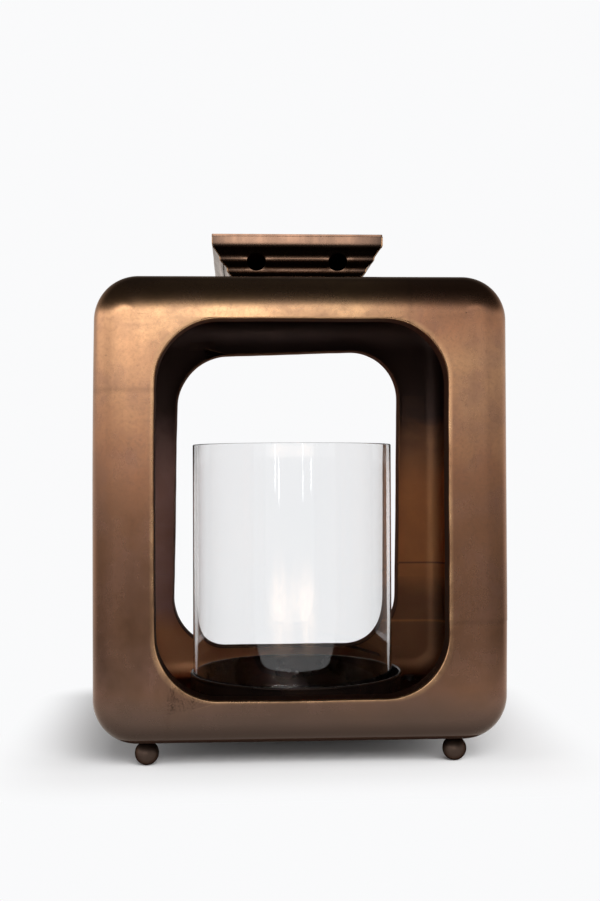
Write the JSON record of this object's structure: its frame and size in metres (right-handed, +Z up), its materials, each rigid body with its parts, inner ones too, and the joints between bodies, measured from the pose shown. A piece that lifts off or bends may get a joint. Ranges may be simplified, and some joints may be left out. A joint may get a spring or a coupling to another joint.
{
  "type": "hurricane candle lantern",
  "caption": "Soft-edged metal box lantern with a window front and back, a vented cap, ball feet and a loose pan that holds a glass cylinder.",
  "frame": {"origin": "on the ground under the middle of the lantern", "axes": "+Z up, -Y out of the front window, +X to the right as seen from the front"},
  "size_m": [0.3, 0.285, 0.3909],
  "materials": {
    "body_bronze": "satin antique bronze plating on sheet steel, worn bright along the window edges",
    "cap_bronze": "satin antique bronze plating on sheet steel, brushed along its length",
    "strap_bronze": "unpolished bronze plating on sheet steel",
    "foot_bronze": "dark antique bronze plating on turned steel",
    "plain_steel": "zinc-plated steel",
    "pan_black": "blackened bronze plating on spun steel, glossy inside",
    "clear_glass": "clear, with fire-polished rims"
  },
  "bodies": {
    "lantern_body": {"front_top_segment": "body_bronze", "front_right_segment": "body_bronze", "front_bottom_segment": "body_bronze", "front_left_segment": "body_bronze", "rear_top_segment": "body_bronze", "rear_right_segment": "body_bronze", "rear_bottom_segment": "body_bronze", "rear_left_segment": "body_bronze", "front_seam_straps": "strap_bronze", "rear_seam_straps": "strap_bronze", "cap_base_plate": "strap_bronze", "cap_front_wall": "cap_bronze", "cap_rear_wall": "cap_bronze", "cap_left_wall": "cap_bronze", "cap_right_wall": "cap_bronze", "cap_top_plate": "cap_bronze", "cap_rivets": "strap_bronze", "foot_front_left": "foot_bronze", "foot_front_right": "foot_bronze", "foot_rear_left": "foot_bronze", "foot_rear_right": "foot_bronze", "foot_screws": "plain_steel", "foot_washers": "plain_steel"},
    "pan": {"candle_pan": "pan_black"},
    "glass": {"hurricane_glass": "clear_glass"}
  },
  "joints": [
    {"name": "pan_lift", "type": "slide", "parent": "lantern_body", "child": "pan", "axis": [0, 0, 1], "range_m": [0, 0.036]},
    {"name": "glass_lift", "type": "slide", "parent": "pan", "child": "glass", "axis": [0, 0, 1], "range_m": [0, 0.032]}
  ]
}
